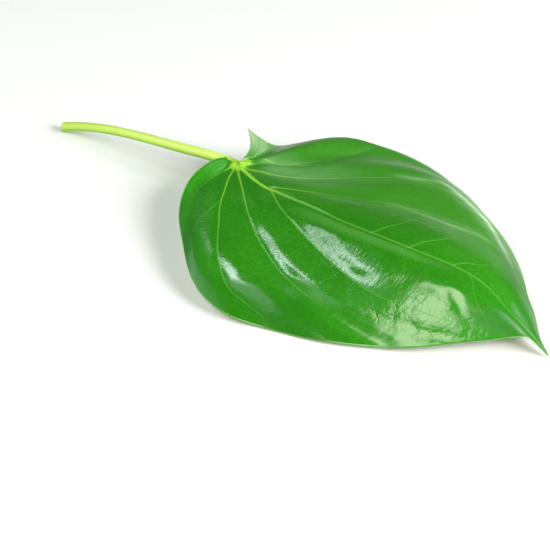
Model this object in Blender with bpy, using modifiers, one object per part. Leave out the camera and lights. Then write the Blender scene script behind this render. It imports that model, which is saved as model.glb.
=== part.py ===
"""A betel leaf, picked and lying by itself: its domed, heart-shaped blade and its stalk.

Run with blender --background --python part.py, or from Blender's text editor. Metres, +Z up. +X runs
from the stalk to the tip, and the origin is on the surface that the leaf lies on, under the middle
of its box. The blade is a fan: a place on it is given by its fan value, from -1 at the near side of
the notch through 0 on the midrib to 1 at the far side, and by its reach, from 0 at the junction with
the stalk to 1 at the margin.
"""

import bmesh
import bpy
import numpy as np

MM = 0.001

# Where the ribs meet the stalk, from the middle of the leaf's box, in millimetres
JUNCTION = (-22.7, -0.45, 13.0)

# Blade thicknesses, in millimetres
LAMINA = 0.6
HUB_THICKNESS = 2.6
HUB_RADIUS = 2.6
HUB_RISE = 0.8
NOTCH_THINS = 0.5
THICKEST = LAMINA + HUB_THICKNESS

# Far edge rolled down, in millimetres, and the reach where the roll begins
ROLL_DEPTH = 1.2
ROLL_START = 0.93

# Margin, from the junction, in millimetres: fan value, x, y, height above the surface
MARGIN = (
    (-1.0, -4.6, -1.6, 15.4),
    (-0.955, -7.5, -4.9, 14.5),
    (-0.91, -8.5, -13.0, 12.8),
    (-0.87, -6.0, -20.9, 11.1),
    (-0.83, -1.1, -28.2, 9.8),
    (-0.77, 7.8, -36.4, 8.4),
    (-0.71, 17.4, -44.1, 6.6),
    (-0.66, 26.9, -48.2, 4.4),
    (-0.61, 37.6, -48.1, 2.6),
    (-0.57, 44.6, -45.4, 1.3),
    (-0.53, 52.0, -42.5, 0.6),
    (-0.46, 65.7, -37.5, 1.3),
    (-0.38, 80.0, -29.4, 1.6),
    (-0.3, 90.0, -23.3, 3.2),
    (-0.22, 98.7, -15.9, 4.8),
    (-0.15, 105.5, -10.4, 6.0),
    (-0.09, 110.7, -5.3, 6.6),
    (-0.055, 113.4, -2.8, 6.4),
    (-0.03, 115.8, -1.6, 4.6),
    (0.0, 120.0, -0.3, 0.8),
    (0.03, 117.2, 1.2, 2.2),
    (0.06, 114.4, 3.2, 3.5),
    (0.1, 110.8, 7.3, 4.1),
    (0.15, 106.8, 11.7, 4.0),
    (0.2, 103.0, 16.0, 3.6),
    (0.26, 96.2, 24.6, 2.8),
    (0.31, 89.6, 30.5, 2.0),
    (0.36, 81.4, 35.2, 1.7),
    (0.43, 71.0, 42.5, 1.8),
    (0.5, 59.8, 47.0, 2.3),
    (0.57, 48.5, 49.5, 3.7),
    (0.65, 35.6, 47.9, 6.4),
    (0.72, 25.5, 43.2, 9.1),
    (0.79, 16.4, 37.5, 11.2),
    (0.85, 9.4, 29.8, 11.4),
    (0.9, 3.6, 23.2, 10.4),
    (0.935, 0.2, 18.4, 11.4),
    (0.965, -2.3, 14.0, 15.8),
    (1.0, -3.0, 8.8, 22.2),
)

# Courses of the fan, as the two handles of a curve from the junction to the margin: fan value, handles
COURSES = (
    (-1.0, (-0.4, -2.1, 14.5), (-2.2, -1.5, 16.6)),
    (-0.91, (-1.5, -5.0, 14.0), (-6.0, -9.0, 13.5)),
    (-0.83, (-2.5, -7.5, 13.6), (-4.2, -16.4, 12.8)),
    (-0.69, (1.8, -12.8, 13.8), (10.8, -33.0, 12.8)),
    (-0.56, (7.0, -22.5, 14.6), (21.2, -42.6, 10.4)),
    (-0.385, (27.0, -26.5, 16.5), (40.1, -34.9, 10.2)),
    (-0.155, (44.0, -16.5, 19.0), (60.0, -31.5, 15.0)),
    (0.0, (41.8, -14.7, 16.5), (85.0, 0.5, 34.5)),
    (0.21, (37.0, -7.5, 19.0), (74.0, 31.0, 22.5)),
    (0.335, (41.0, 1.5, 16.0), (50.0, 48.5, 22.0)),
    (0.63, (12.0, 9.0, 16.0), (21.5, 28.0, 14.5)),
    (0.82, (6.0, 8.5, 15.5), (11.0, 23.0, 15.0)),
    (0.94, (1.0, 6.0, 14.3), (2.5, 12.5, 13.0)),
    (1.0, (-1.0, 4.9, 14.2), (2.3, 7.7, 16.0)),
)

# Main ribs: fan value, reach where it leaves the midrib or the junction, depth of its valley on top,
# valley's half width towards the midrib and away from it, reaches where the valley begins, is at full
# depth, starts to fade and ends, height of its ridge beneath
RIBS = (
    (-0.845, 0.03, 0.35, 3.0, 4.0, (0.05, 0.3, 0.75, 0.95), 0.5),
    (-0.56, 0.03, 0.9, 3.7, 7.0, (0.5, 0.68, 0.76, 0.87), 0.9),
    (-0.387, 0.03, 1.25, 3.5, 6.5, (0.24, 0.4, 0.6, 0.72), 1.0),
    (-0.158, 0.12, 1.05, 4.7, 7.0, (0.25, 0.42, 0.6, 0.76), 1.0),
    (0.0, 0.03, 0.7, 11.0, 3.5, (0.2, 0.4, 0.7, 1.0), 1.5),
    (0.215, 0.12, 0.6, 3.5, 4.5, (0.15, 0.32, 0.45, 0.75), 1.0),
    (0.345, 0.03, 0.7, 3.5, 4.5, (0.05, 0.3, 0.5, 0.8), 1.0),
    (0.6, 0.03, 0.5, 3.5, 4.0, (0.2, 0.4, 0.6, 0.85), 0.9),
)
RIDGE_HALF_WIDTH = 0.9

# Mesh of the blade: fan lines between the ribs, their least distance from a rib's own three lines
FAN_LINES = 73
RIB_LINE_STEP = 0.012
RIB_CLEARANCE = 0.022
REACH_LINES = 22

# Stalk, from the junction, in millimetres: x, y, height of its middle, radius
STALK = (
    (-74.0, -10.9, 1.61, 1.70),
    (-65.0, -9.4, 4.8, 1.65),
    (-52.0, -7.4, 8.1, 1.62),
    (-36.2, -5.1, 10.3, 1.66),
    (-20.0, -2.4, 11.75, 1.74),
    (-9.9, -0.4, 12.3, 1.70),
    (-4.0, 0.6, 12.2, 1.56),
    (-0.85, 1.0, 11.85, 1.42),
)
STALK_SPAN_RINGS = 5
STALK_BEVEL_RESOLUTION = 4

# Base colour, roughness and metallic value of each material
BLADE_GREEN = ((0.035, 0.27, 0.012, 1.0), 0.32, 0.0)
STALK_GREEN = ((0.42, 0.68, 0.08, 1.0), 0.38, 0.0)


def clear_scene():
    """Removes every object, so that the part stands alone."""
    for thing in list(bpy.data.objects):
        bpy.data.objects.remove(thing, do_unlink=True)


def make_material(name, finish):
    """A Principled material from a base colour, a roughness and a metallic value."""
    colour, roughness, metallic = finish
    material = bpy.data.materials.new(name)
    material.use_nodes = True
    shader = material.node_tree.nodes["Principled BSDF"]
    shader.inputs["Base Color"].default_value = colour
    shader.inputs["Roughness"].default_value = roughness
    shader.inputs["Metallic"].default_value = metallic
    return material


def natural_spline(keys, values, at):
    """Cubic spline through values at keys, with no bend at its two ends, read at the places given."""
    keys = np.asarray(keys, float)
    values = np.asarray(values, float)
    spans = np.diff(keys)
    count = len(keys)
    matrix = np.zeros((count, count))
    right = np.zeros_like(values)
    matrix[0, 0] = matrix[-1, -1] = 1.0
    for i in range(1, count - 1):
        matrix[i, i - 1 : i + 2] = spans[i - 1], 2 * (spans[i - 1] + spans[i]), spans[i]
        slopes = np.diff(values[i - 1 : i + 2], axis=0) / spans[i - 1 : i + 1, None]
        right[i] = 6 * (slopes[1] - slopes[0])
    bends = np.linalg.solve(matrix, right)
    at = np.asarray(at, float)
    i = np.clip(np.searchsorted(keys, at) - 1, 0, count - 2)
    span = spans[i][:, None]
    after = (at - keys[i])[:, None]
    before = (keys[i + 1] - at)[:, None]
    curved = (bends[i] * before**3 + bends[i + 1] * after**3) / (6 * span)
    start = values[i] / span - bends[i] * span / 6
    end = values[i + 1] / span - bends[i + 1] * span / 6
    return curved + start * before + end * after


def smooth_step(low, high, x):
    """0 below low, 1 above high, and smooth between them."""
    t = np.clip((x - low) / (high - low), 0, 1)
    return t * t * (3 - 2 * t)


def courses_at(fan, reach):
    """Points of the plain fan, one row for each fan value and one column for each reach."""
    margin = np.array(MARGIN)
    edge = natural_spline(margin[:, 0], margin[:, 1:], fan)
    keys = [course[0] for course in COURSES]
    first = natural_spline(keys, [course[1] for course in COURSES], fan)
    second = natural_spline(keys, [course[2] for course in COURSES], fan)
    t = np.asarray(reach)[None, :, None]
    s = 1 - t
    base = np.array((0.0, 0.0, JUNCTION[2]))
    return s**3 * base + 3 * s * s * t * first[:, None] + 3 * s * t * t * second[:, None] + t**3 * edge[:, None]


def normals_and_width(fan, reach):
    """Upward unit normals of the plain fan, and how many millimetres wide one unit of fan value is."""
    step = 1e-4
    across = (courses_at(fan + step, reach) - courses_at(fan - step, reach)) / (2 * step)
    along = (courses_at(fan, reach + step) - courses_at(fan, reach - step)) / (2 * step)
    normal = np.cross(along, across)
    area = np.linalg.norm(normal, axis=2)
    width = area / np.linalg.norm(along, axis=2)
    normal = normal / np.maximum(area, 1e-6)[:, :, None]
    normal[:, reach == 0] = (0.0, 0.0, 1.0)
    return normal, width


def blade_shape(fan, reach):
    """The blade's upper face and its thickness at each place of the fan, in millimetres."""
    plain = courses_at(fan, reach)
    normal, width = normals_and_width(fan, reach)
    from_junction = np.linalg.norm(plain - np.array((0.0, 0.0, JUNCTION[2])), axis=2)
    hub = np.exp(-((from_junction / HUB_RADIUS) ** 2))
    rise = HUB_RISE * hub
    ridge = HUB_THICKNESS * hub * (1 - smooth_step(NOTCH_THINS, 0.9, np.abs(fan)))[:, None]
    ridge[:, reach == 0] = HUB_THICKNESS
    for rib_fan, leaves, depth, inner, outer, (begins, full, fades, ends), height in RIBS:
        distance = (fan[:, None] - rib_fan) * width
        towards_midrib = distance * (1 if rib_fan <= 0 else -1) > 0
        valley = np.exp(-((distance / np.where(towards_midrib, inner, outer)) ** 2))
        strength = smooth_step(begins, full, reach) * (1 - smooth_step(fades, ends, reach))
        rise = rise - depth * valley * strength
        crest = height * np.exp(-((distance / RIDGE_HALF_WIDTH) ** 2))
        crest = crest * smooth_step(leaves - 0.04, leaves + 0.02, reach) * (1 - reach) ** 0.7
        ridge = np.maximum(ridge, crest)
    rolled = smooth_step(0.12, 0.26, fan) * (1 - smooth_step(0.34, 0.5, fan))
    roll = np.clip((reach - ROLL_START) / (1 - ROLL_START), 0, 1) ** 2
    upper = plain + normal * rise[:, :, None]
    upper[:, :, 2] -= ROLL_DEPTH * rolled[:, None] * roll
    return upper, LAMINA + ridge


def fan_values():
    """Fan values of the mesh lines: three at each rib, and even ones between the ribs."""
    ribs = np.array([rib[0] for rib in RIBS])
    even = np.linspace(-1, 1, FAN_LINES)
    even = even[np.abs(even[:, None] - ribs).min(axis=1) > RIB_CLEARANCE]
    return np.sort(np.concatenate([even, ribs - RIB_LINE_STEP, ribs, ribs + RIB_LINE_STEP]))


def build_blade(collection, material):
    """The blade: a grid bent into the fan, cut into triangles and thickened downwards."""
    fan = fan_values()
    reach = np.linspace(0, 1, REACH_LINES + 1) ** 1.15
    upper, thickness = blade_shape(fan, reach)
    shape = bmesh.new()
    weights = shape.verts.layers.deform.verify()
    bmesh.ops.create_grid(shape, x_segments=REACH_LINES, y_segments=len(fan) - 1, size=1.0)
    for vertex in shape.verts:
        column = round((vertex.co.x + 1) / 2 * REACH_LINES)
        row = round((vertex.co.y + 1) / 2 * (len(fan) - 1))
        vertex.co = (upper[row, column] + np.array((JUNCTION[0], JUNCTION[1], 0.0))) * MM
        vertex[weights][0] = thickness[row, column] / THICKEST
    bmesh.ops.remove_doubles(shape, verts=shape.verts, dist=1e-7)
    bmesh.ops.triangulate(shape, faces=shape.faces, quad_method="SHORT_EDGE")
    mesh = bpy.data.meshes.new("blade")
    shape.to_mesh(mesh)
    shape.free()
    mesh.shade_smooth()
    mesh.materials.append(material)
    blade = bpy.data.objects.new("blade", mesh)
    blade.vertex_groups.new(name="thickness")
    collection.objects.link(blade)
    solid = blade.modifiers.new("thickness", "SOLIDIFY")
    solid.thickness = THICKEST * MM
    solid.offset = -1
    solid.vertex_group = "thickness"
    solid.thickness_vertex_group = 0.0
    return blade


def build_stalk(collection, material):
    """The stalk: a round tube along a smooth curve, from its cut end to the junction."""
    curve = bpy.data.curves.new("stalk", "CURVE")
    curve.dimensions = "3D"
    curve.resolution_u = STALK_SPAN_RINGS
    curve.render_resolution_u = 0
    curve.bevel_depth = MM
    curve.bevel_resolution = STALK_BEVEL_RESOLUTION
    curve.use_fill_caps = True
    spline = curve.splines.new("BEZIER")
    spline.bezier_points.add(len(STALK) - 1)
    for point, (x, y, height, radius) in zip(spline.bezier_points, STALK):
        point.co = ((x + JUNCTION[0]) * MM, (y + JUNCTION[1]) * MM, height * MM)
        point.radius = radius
        point.handle_left_type = "AUTO"
        point.handle_right_type = "AUTO"
    curve.materials.append(material)
    stalk = bpy.data.objects.new("stalk", curve)
    collection.objects.link(stalk)
    return stalk


def main():
    clear_scene()
    collection = bpy.data.collections.new("betel_leaf")
    bpy.context.scene.collection.children.link(collection)
    build_blade(collection, make_material("blade_green", BLADE_GREEN))
    build_stalk(collection, make_material("stalk_green", STALK_GREEN))


main()
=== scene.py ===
"""Looks of a betel leaf that lies by itself: its glossy domed blade with ribs, and its yellow-green stalk.

The blade is a fan. A place on it has a fan value, from -1 at the near side of the notch through 0 on
the midrib to 1 at the far side, and a reach, from 0 at the junction with the stalk to 1 at the margin.
Sizes are in millimetres here, and every finished mesh is in metres, in the frame of the solids.
"""

from __future__ import annotations

import logging
import math
from collections.abc import Mapping, Sequence
from dataclasses import dataclass
from enum import Enum
from functools import reduce

import bpy
import numpy as np
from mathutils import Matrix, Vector

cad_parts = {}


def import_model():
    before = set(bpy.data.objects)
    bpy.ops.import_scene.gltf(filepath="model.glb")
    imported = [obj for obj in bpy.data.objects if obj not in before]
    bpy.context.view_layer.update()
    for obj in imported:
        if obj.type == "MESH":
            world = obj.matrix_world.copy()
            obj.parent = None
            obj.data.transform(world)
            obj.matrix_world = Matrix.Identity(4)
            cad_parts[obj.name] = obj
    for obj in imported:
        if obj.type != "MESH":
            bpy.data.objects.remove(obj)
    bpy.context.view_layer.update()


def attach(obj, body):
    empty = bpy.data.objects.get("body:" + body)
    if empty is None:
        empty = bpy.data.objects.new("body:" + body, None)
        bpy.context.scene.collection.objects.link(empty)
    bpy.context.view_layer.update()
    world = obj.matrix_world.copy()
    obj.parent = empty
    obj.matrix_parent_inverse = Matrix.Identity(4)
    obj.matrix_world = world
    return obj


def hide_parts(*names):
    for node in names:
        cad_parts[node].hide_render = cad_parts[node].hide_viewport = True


LOG = logging.getLogger("betel_leaf")
MM = 0.001
Colour = tuple[float, float, float, float]

# Rungs between the ribs: how far apart they are along a course, and how far they lean for each
# millimetre from the nearest rib
RUNG_SPACING = 7.0
RUNG_SLOPE = 0.8

# Number of points that a line on the fan is read at
RIB_POINTS = 40
SIDE_VEIN_POINTS = 14
STREAK_POINTS = 20
CREASE_POINTS = 16

# Where the stalk meets the blade. Points are worked out from the spot under it and moved there at the end
JUNCTION = np.array((-22.7, -0.45, 13.0))
HUB = np.array((0.0, 0.0, JUNCTION[2]))
UNDER_JUNCTION = np.array((JUNCTION[0], JUNCTION[1], 0.0))

# Margin, from the junction, in millimetres: fan value, x, y, height above the surface
MARGIN = np.array(
    (
        (-1.0, -4.6, -1.6, 15.4),
        (-0.955, -7.5, -4.9, 14.5),
        (-0.91, -8.5, -13.0, 12.8),
        (-0.87, -6.0, -20.9, 11.1),
        (-0.83, -1.1, -28.2, 9.8),
        (-0.77, 7.8, -36.4, 8.4),
        (-0.71, 17.4, -44.1, 6.6),
        (-0.66, 26.9, -48.2, 4.4),
        (-0.61, 37.6, -48.1, 2.6),
        (-0.57, 44.6, -45.4, 1.3),
        (-0.53, 52.0, -42.5, 0.6),
        (-0.46, 65.7, -37.5, 1.3),
        (-0.38, 80.0, -29.4, 1.6),
        (-0.3, 90.0, -23.3, 3.2),
        (-0.22, 98.7, -15.9, 4.8),
        (-0.15, 105.5, -10.4, 6.0),
        (-0.09, 110.7, -5.3, 6.6),
        (-0.055, 113.4, -2.8, 6.4),
        (-0.03, 115.8, -1.6, 4.6),
        (0.0, 120.0, -0.3, 0.8),
        (0.03, 117.2, 1.2, 2.2),
        (0.06, 114.4, 3.2, 3.5),
        (0.1, 110.8, 7.3, 4.1),
        (0.15, 106.8, 11.7, 4.0),
        (0.2, 103.0, 16.0, 3.6),
        (0.26, 96.2, 24.6, 2.8),
        (0.31, 89.6, 30.5, 2.0),
        (0.36, 81.4, 35.2, 1.7),
        (0.43, 71.0, 42.5, 1.8),
        (0.5, 59.8, 47.0, 2.3),
        (0.57, 48.5, 49.5, 3.7),
        (0.65, 35.6, 47.9, 6.4),
        (0.72, 25.5, 43.2, 9.1),
        (0.79, 16.4, 37.5, 11.2),
        (0.85, 9.4, 29.8, 11.4),
        (0.9, 3.6, 23.2, 10.4),
        (0.935, 0.2, 18.4, 11.4),
        (0.965, -2.3, 14.0, 15.8),
        (1.0, -3.0, 8.8, 22.2),
    )
)

# Courses of the fan: fan value, then the two handles of a curve from the junction to the margin
COURSES = np.array(
    (
        (-1.0, -0.4, -2.1, 14.5, -2.2, -1.5, 16.6),
        (-0.91, -1.5, -5.0, 14.0, -6.0, -9.0, 13.5),
        (-0.83, -2.5, -7.5, 13.6, -4.2, -16.4, 12.8),
        (-0.69, 1.8, -12.8, 13.8, 10.8, -33.0, 12.8),
        (-0.56, 7.0, -22.5, 14.6, 21.2, -42.6, 10.4),
        (-0.385, 27.0, -26.5, 16.5, 40.1, -34.9, 10.2),
        (-0.155, 44.0, -16.5, 19.0, 60.0, -31.5, 15.0),
        (0.0, 41.8, -14.7, 16.5, 85.0, 0.5, 34.5),
        (0.21, 37.0, -7.5, 19.0, 74.0, 31.0, 22.5),
        (0.335, 41.0, 1.5, 16.0, 50.0, 48.5, 22.0),
        (0.63, 12.0, 9.0, 16.0, 21.5, 28.0, 14.5),
        (0.82, 6.0, 8.5, 15.5, 11.0, 23.0, 15.0),
        (0.94, 1.0, 6.0, 14.3, 2.5, 12.5, 13.0),
        (1.0, -1.0, 4.9, 14.2, 2.3, 7.7, 16.0),
    )
)

# Stalk, from the junction, in millimetres: x, y, height of its middle, radius
STALK = np.array(
    (
        (-74.0, -10.9, 1.61, 1.70),
        (-65.0, -9.4, 4.8, 1.65),
        (-52.0, -7.4, 8.1, 1.62),
        (-36.2, -5.1, 10.3, 1.66),
        (-20.0, -2.4, 11.75, 1.74),
        (-9.9, -0.4, 12.3, 1.74),
        (-4.0, 0.55, 12.35, 1.66),
        (-1.2, 0.8, 12.55, 1.5),
    )
)


class Side(Enum):
    """The faces of the blade, in the order of its material slots."""

    UPPER = 0
    LOWER = 1
    RIM = 2


def natural_spline(keys: np.ndarray, values: np.ndarray, at: np.ndarray) -> np.ndarray:
    """Cubic spline through values at keys, with no bend at its two ends.

    The bend at each key solves the usual three-term equation, spans times bends equal to the change
    of slope, and each span is then a cubic between its two keys.

    Args:
        keys: Rising key positions.
        values: One row for each key.
        at: Positions to read.

    Returns:
        One row for each position.
    """
    spans = np.diff(keys)
    count = len(keys)
    slopes = np.diff(values, axis=0) / spans[:, None]
    matrix = np.eye(count)
    inner = np.arange(1, count - 1)
    matrix[inner, inner - 1] = spans[:-1]
    matrix[inner, inner] = 2 * (spans[:-1] + spans[1:])
    matrix[inner, inner + 1] = spans[1:]
    right = np.zeros_like(values)
    right[1:-1] = 6 * np.diff(slopes, axis=0)
    bends = np.linalg.solve(matrix, right)
    i = np.clip(np.searchsorted(keys, at) - 1, 0, count - 2)
    span = spans[i][:, None]
    after = (at - keys[i])[:, None]
    before = (keys[i + 1] - at)[:, None]
    curved = (bends[i] * before**3 + bends[i + 1] * after**3) / (6 * span)
    start = values[i] / span - bends[i] * span / 6
    end = values[i + 1] / span - bends[i + 1] * span / 6
    return curved + start * before + end * after


def smooth_step(low: float, high: float, x: np.ndarray) -> np.ndarray:
    """0 below low, 1 above high, and 3t squared less 2t cubed between them."""
    t = np.clip((x - low) / (high - low), 0, 1)
    return t * t * (3 - 2 * t)


def window(begins: float, full: float, fades: float, ends: float, x: np.ndarray) -> np.ndarray:
    """1 where x is from full to fades, 0 outside begins and ends, and smooth between."""
    return smooth_step(begins, full, x) * (1 - smooth_step(fades, ends, x))


def bell(offset: np.ndarray, half_width: np.ndarray | float) -> np.ndarray:
    """1 where there is no offset, and e to the minus square of the offset over the half width."""
    return np.exp(-((offset / half_width) ** 2))


@dataclass(frozen=True)
class Vein:
    """A vein, from the junction or from the vein that it leaves, towards the margin.

    Attributes:
        name: What it is called.
        places: Reach and fan value of a few places along it.
        line: Half width of its pale line where it starts, in millimetres.
        pale: How much paler than the skin its line is, from 0 to 1.
    """

    name: str
    places: tuple[tuple[float, float], ...]
    line: float
    pale: float


@dataclass(frozen=True, kw_only=True)
class Rib(Vein):
    """A main vein, which lies in a valley of the upper face and stands out as a ridge on the lower face.

    Attributes:
        depth: Depth of its valley, in millimetres.
        inner: Half width of the valley towards the midrib, in millimetres.
        outer: Half width of the valley away from the midrib, in millimetres.
        runs: Reaches where the valley begins, is at full depth, starts to fade and ends.
        ridge: Height of its ridge on the lower face, in millimetres.
    """

    depth: float
    inner: float
    outer: float
    runs: tuple[float, float, float, float]
    ridge: float


@dataclass(frozen=True)
class Crease:
    """A fold or dent of the upper face along a line, which stands up where its depth is below 0.

    Attributes:
        places: Reach and fan value of a few places along it.
        depth: Its depth, in millimetres.
        left: Its half width on the left of the line, in millimetres.
        right: Its half width on the right.
    """

    places: tuple[tuple[float, float], ...]
    depth: float
    left: float
    right: float


RIBS = (
    Rib(
        "near_fourth",
        (
            (0.0, -0.86),
            (0.14, -0.857),
            (0.38, -0.854),
            (0.51, -0.843),
            (0.68, -0.834),
            (0.8, -0.81),
            (0.95, -0.78),
        ),
        line=0.22,
        pale=0.25,
        depth=0.35,
        inner=3.0,
        outer=4.0,
        runs=(0.05, 0.3, 0.75, 0.95),
        ridge=0.5,
    ),
    Rib(
        "near_third",
        (
            (0.0, -0.74),
            (0.06, -0.7),
            (0.14, -0.57),
            (0.25, -0.549),
            (0.36, -0.543),
            (0.46, -0.545),
            (0.59, -0.562),
            (0.7, -0.569),
            (0.8, -0.568),
            (0.85, -0.55),
            (0.93, -0.53),
        ),
        line=0.5,
        pale=0.55,
        depth=0.9,
        inner=3.4,
        outer=6.0,
        runs=(0.56, 0.7, 0.78, 0.87),
        ridge=0.9,
    ),
    Rib(
        "near_second",
        (
            (0.0, -0.44),
            (0.08, -0.39),
            (0.2, -0.386),
            (0.35, -0.389),
            (0.5, -0.387),
            (0.62, -0.388),
            (0.8, -0.375),
        ),
        line=0.52,
        pale=0.5,
        depth=1.25,
        inner=3.5,
        outer=6.5,
        runs=(0.24, 0.4, 0.6, 0.72),
        ridge=1.0,
    ),
    Rib(
        "near_first",
        (
            (0.125, -0.05),
            (0.14, -0.045),
            (0.173, -0.105),
            (0.222, -0.146),
            (0.30, -0.156),
            (0.45, -0.158),
            (0.6, -0.161),
            (0.72, -0.16),
            (0.8, -0.149),
            (0.9, -0.135),
        ),
        line=0.56,
        pale=0.5,
        depth=1.05,
        inner=4.7,
        outer=7.0,
        runs=(0.25, 0.42, 0.6, 0.76),
        ridge=1.0,
    ),
    Rib(
        "midrib",
        (
            (0.0, 0.0),
            (0.03, -0.06),
            (0.066, -0.1),
            (0.125, -0.05),
            (0.16, -0.004),
            (0.23, 0.004),
            (0.31, 0.0),
            (0.41, -0.01),
            (0.56, -0.01),
            (0.63, -0.004),
            (0.7, 0.006),
            (0.77, 0.01),
            (0.82, 0.004),
            (0.87, -0.008),
            (0.93, -0.01),
            (1.0, 0.0),
        ),
        line=0.9,
        pale=1.0,
        depth=0.7,
        inner=11.0,
        outer=3.5,
        runs=(0.2, 0.4, 0.7, 1.0),
        ridge=1.5,
    ),
    Rib(
        "far_first",
        (
            (0.125, -0.05),
            (0.134, 0.0),
            (0.147, 0.045),
            (0.194, 0.127),
            (0.25, 0.178),
            (0.30, 0.203),
            (0.4, 0.212),
            (0.52, 0.219),
            (0.69, 0.219),
            (0.86, 0.22),
            (0.96, 0.2),
        ),
        line=0.52,
        pale=0.6,
        depth=0.6,
        inner=3.5,
        outer=4.5,
        runs=(0.15, 0.32, 0.45, 0.75),
        ridge=1.0,
    ),
    Rib(
        "far_second",
        (
            (0.0, 0.3),
            (0.05, 0.39),
            (0.094, 0.395),
            (0.13, 0.37),
            (0.2, 0.365),
            (0.3, 0.36),
            (0.5, 0.35),
            (0.67, 0.335),
            (0.8, 0.305),
            (0.95, 0.23),
        ),
        line=0.56,
        pale=0.65,
        depth=0.7,
        inner=3.5,
        outer=4.5,
        runs=(0.05, 0.3, 0.5, 0.8),
        ridge=1.0,
    ),
    Rib(
        "far_third",
        (
            (0.0, 0.88),
            (0.12, 0.885),
            (0.2, 0.88),
            (0.25, 0.86),
            (0.245, 0.79),
            (0.236, 0.72),
            (0.255, 0.61),
            (0.32, 0.571),
            (0.44, 0.567),
            (0.655, 0.652),
            (0.89, 0.706),
        ),
        line=0.5,
        pale=0.4,
        depth=0.5,
        inner=3.5,
        outer=4.0,
        runs=(0.2, 0.4, 0.6, 0.85),
        ridge=0.9,
    ),
)

SIDE_VEINS = (
    Vein(
        "lobe_branch",
        ((0.297, -0.58), (0.4, -0.65), (0.5, -0.689), (0.65, -0.728), (0.8, -0.74)),
        line=0.24,
        pale=0.3,
    ),
    Vein(
        "far_branch_low",
        ((0.472, -0.008), (0.494, 0.042), (0.521, 0.088), (0.563, 0.157), (0.6, 0.2)),
        line=0.24,
        pale=0.4,
    ),
    Vein(
        "far_branch_middle",
        ((0.579, -0.008), (0.595, 0.03), (0.645, 0.09), (0.698, 0.158), (0.74, 0.2)),
        line=0.24,
        pale=0.4,
    ),
    Vein(
        "far_branch_high",
        ((0.692, 0.008), (0.721, 0.034), (0.749, 0.053), (0.786, 0.086), (0.84, 0.14)),
        line=0.22,
        pale=0.35,
    ),
    Vein(
        "near_branch_low",
        ((0.36, -0.005), (0.42, -0.04), (0.49, -0.085), (0.55, -0.12)),
        line=0.2,
        pale=0.12,
    ),
    Vein(
        "near_branch_high",
        ((0.55, -0.01), (0.62, -0.05), (0.7, -0.1), (0.76, -0.14)),
        line=0.2,
        pale=0.12,
    ),
    Vein(
        "tip_branch",
        ((0.74, 0.008), (0.8, -0.03), (0.87, -0.065), (0.93, -0.09)),
        line=0.2,
        pale=0.15,
    ),
)

# Painted sheen: pale streaks along the crests of the far side, given as the veins are
STREAKS = (
    Vein(
        "outer",
        ((0.68, 0.375), (0.748, 0.35), (0.79, 0.312), (0.838, 0.29), (0.87, 0.25), (0.93, 0.19)),
        line=0.9,
        pale=0.85,
    ),
    Vein("second", ((0.5, 0.372), (0.611, 0.352), (0.7, 0.352), (0.77, 0.33)), line=0.7, pale=0.25),
    Vein(
        "first",
        ((0.45, 0.228), (0.58, 0.205), (0.66, 0.195), (0.76, 0.212), (0.85, 0.222)),
        line=0.8,
        pale=0.25,
    ),
)

# The hub's arm, which stands up along the far third rib
HUB_ARM = Crease(((0.0, 0.88), (0.07, 0.885), (0.14, 0.885), (0.21, 0.875)), depth=-0.9, left=1.5, right=1.5)

CREASES = (
    Crease(
        ((0.05, 0.62), (0.1, 0.65), (0.16, 0.67), (0.24, 0.62), (0.32, 0.52)),
        depth=1.3,
        left=1.3,
        right=1.5,
    ),
    Crease(
        ((0.79, -0.066), (0.822, -0.078), (0.86, -0.094), (0.913, -0.114), (0.95, -0.13)),
        depth=0.22,
        left=0.8,
        right=1.0,
    ),
    Crease(((0.6, -0.4), (0.68, -0.42), (0.78, -0.44), (0.86, -0.45)), depth=0.25, left=1.8, right=1.8),
)


def offset_from(path: np.ndarray, points: np.ndarray, normals: np.ndarray) -> tuple[np.ndarray, np.ndarray]:
    """How far points lie from a path on a surface.

    The nearest place on each stretch of the path is the foot of the perpendicular, kept on the stretch.
    The distance is positive on the left of the path, which is along the normal times the stretch.

    Args:
        path: Points along the path.
        points: The points to measure.
        normals: The surface's upward normal at each.

    Returns:
        The signed distance, and how far along the path its nearest place is, from 0 to 1.
    """
    nearest = np.full(len(points), np.inf)
    signed = np.zeros(len(points))
    share = np.zeros(len(points))
    for i, (start, end) in enumerate(zip(path[:-1], path[1:])):
        stretch = end - start
        away = points - start
        t = np.clip(away @ stretch / (stretch @ stretch), 0, 1)
        gap = away - t[:, None] * stretch
        distance = np.linalg.norm(gap, axis=1)
        left = np.einsum("ij,ij->i", np.cross(normals, stretch), gap)
        closer = distance < nearest
        nearest = np.where(closer, distance, nearest)
        signed = np.where(closer, np.where(left < 0, -distance, distance), signed)
        share = np.where(closer, (i + t) / (len(path) - 1), share)
    return signed, share


def fan_points(fan: np.ndarray, reach: np.ndarray) -> np.ndarray:
    """Points of the plain fan.

    Each course is a cubic curve with its two handles, from the junction to the margin, and the handles
    and the margin change smoothly from course to course.

    Args:
        fan: Fan values, one for each row.
        reach: Reaches, one for each column.

    Returns:
        Rows and columns of points, in millimetres from the spot under the junction.
    """
    edge = natural_spline(MARGIN[:, 0], MARGIN[:, 1:], fan)
    handles = natural_spline(COURSES[:, 0], COURSES[:, 1:], fan)
    first = handles[:, None, :3]
    second = handles[:, None, 3:]
    t = reach[None, :, None]
    s = 1 - t
    return s**3 * HUB + 3 * s * s * t * first + 3 * s * t * t * second + t**3 * edge[:, None]


def fan_path(places: Sequence[tuple[float, float]], count: int) -> np.ndarray:
    """Points along a line of the plain fan: a spline through its places, read evenly.

    Args:
        places: Reach and fan value of a few places along the line.
        count: Number of points.

    Returns:
        One row for each point.
    """
    keys = np.arange(len(places), dtype=float)
    read = natural_spline(keys, np.array(places), np.linspace(0, keys[-1], count))
    each = np.arange(count)
    return fan_points(read[:, 1], read[:, 0])[each, each]


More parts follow.
